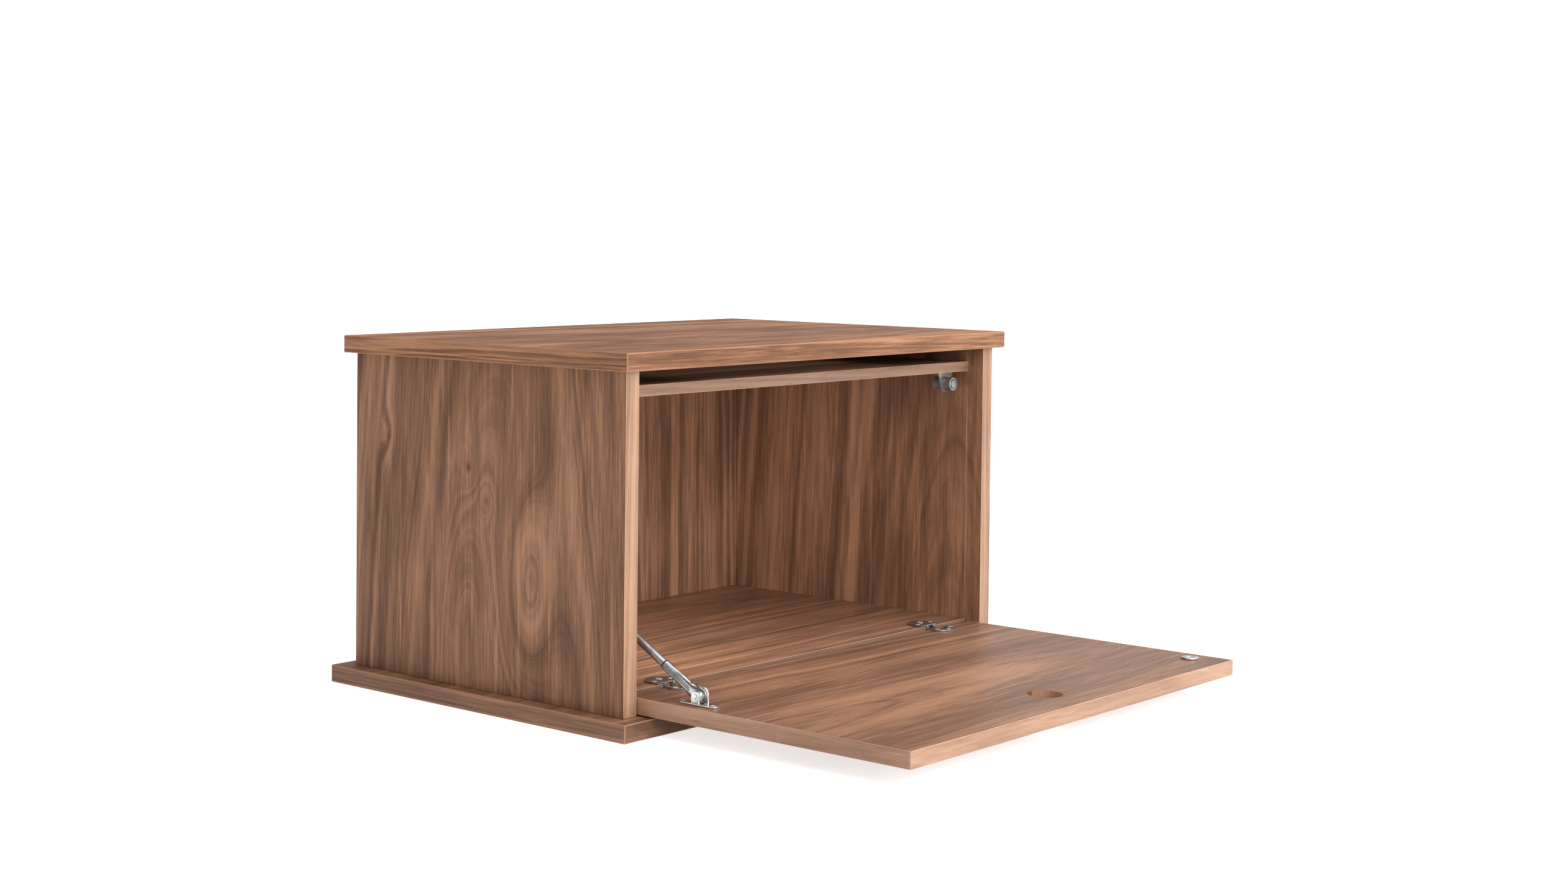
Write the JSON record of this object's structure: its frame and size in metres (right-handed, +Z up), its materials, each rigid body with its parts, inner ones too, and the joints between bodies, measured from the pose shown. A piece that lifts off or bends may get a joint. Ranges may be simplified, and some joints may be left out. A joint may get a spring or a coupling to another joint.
{
  "type": "cube storage unit",
  "caption": "Low cube storage unit with a drop-down flap front, a telescopic stay, two flap hinges and a push catch.",
  "frame": {"origin": "centre of the base board's underside", "axes": "+X to the right, -Y to the front where the open flap lies, +Z up"},
  "size_m": [0.65, 0.7086, 0.3626],
  "materials": {
    "walnut_veneer": "satin",
    "veneer_strip": "satin",
    "beech": "matte",
    "nickel_plated": "polished",
    "zinc_plated": "satin",
    "black_rubber": "matte"
  },
  "bodies": {
    "cabinet": {"back_panel": "walnut_veneer", "base_board": "walnut_veneer", "catch_body": "zinc_plated", "catch_bracket": "zinc_plated", "catch_screw_left": "zinc_plated", "catch_screw_right": "zinc_plated", "dowel_base_left_back": "beech", "dowel_base_left_front": "beech", "dowel_base_right_back": "beech", "dowel_base_right_front": "beech", "dowel_inner_top_left_back": "beech", "dowel_inner_top_left_front": "beech", "dowel_inner_top_right_back": "beech", "dowel_inner_top_right_front": "beech", "dowel_top_left_back": "beech", "dowel_top_left_front": "beech", "dowel_top_right_back": "beech", "dowel_top_right_front": "beech", "floor_panel": "walnut_veneer", "floor_panel_front_band": "veneer_strip", "hinge_left_floor_half": "nickel_plated", "hinge_left_pin": "nickel_plated", "hinge_left_screw_inner_floor": "nickel_plated", "hinge_left_screw_outer_floor": "nickel_plated", "hinge_right_floor_half": "nickel_plated", "hinge_right_pin": "nickel_plated", "hinge_right_screw_inner_floor": "nickel_plated", "hinge_right_screw_outer_floor": "nickel_plated", "inner_top_panel": "walnut_veneer", "inner_top_panel_front_band": "veneer_strip", "side_panel_left": "walnut_veneer", "side_panel_left_front_band": "veneer_strip", "side_panel_right": "walnut_veneer", "side_panel_right_front_band": "veneer_strip", "stay_side_bracket": "nickel_plated", "stay_side_screw_high": "nickel_plated", "stay_side_screw_low": "nickel_plated", "top_board": "walnut_veneer"},
    "flap": {"flap_front_band": "veneer_strip", "flap_left_band": "veneer_strip", "flap_panel": "walnut_veneer", "flap_right_band": "veneer_strip", "hinge_left_flap_half": "nickel_plated", "hinge_left_screw_inner_flap": "nickel_plated", "hinge_left_screw_outer_flap": "nickel_plated", "hinge_right_flap_half": "nickel_plated", "hinge_right_screw_inner_flap": "nickel_plated", "hinge_right_screw_outer_flap": "nickel_plated", "stay_bracket_screw_back": "nickel_plated", "stay_bracket_screw_front": "nickel_plated", "stay_flap_bracket": "nickel_plated", "stay_flap_pin": "nickel_plated", "striker_disc": "nickel_plated", "striker_screw": "nickel_plated"},
    "stay_rod": {"stay_ring": "black_rubber", "stay_rod": "nickel_plated", "stay_sleeve": "nickel_plated"},
    "stay_cylinder": {"stay_cylinder": "nickel_plated"},
    "catch_plunger": {"catch_plunger": "zinc_plated"}
  },
  "joints": [
    {"name": "flap_hinge", "type": "hinge", "parent": "cabinet", "child": "flap", "pos_m": [0, -0.18375, 0.02475], "axis": [-1, 0, 0], "range_deg": [0, 90]},
    {"name": "stay_rod_hinge", "type": "hinge", "parent": "flap", "child": "stay_rod", "pos_m": [-0.272, -0.251, 0.0447], "axis": [1, 0, 0], "range_deg": [0, 91]},
    {"name": "stay_cylinder_slide", "type": "slide", "parent": "stay_rod", "child": "stay_cylinder", "axis": [0, -0.8704, -0.4924], "range_m": [0, 0.0996]},
    {"name": "catch_plunger_slide", "type": "slide", "parent": "cabinet", "child": "catch_plunger", "axis": [0, 1, 0], "range_m": [0, 0.004], "stiffness_N_per_m": 300, "springref_m": -0.002}
  ],
  "couplings": [
    {"joint": "stay_rod_hinge", "follows": "flap_hinge", "ratio": 1.0056},
    {"joint": "stay_cylinder_slide", "follows": "flap_hinge", "m_per_rad": 0.063139}
  ]
}
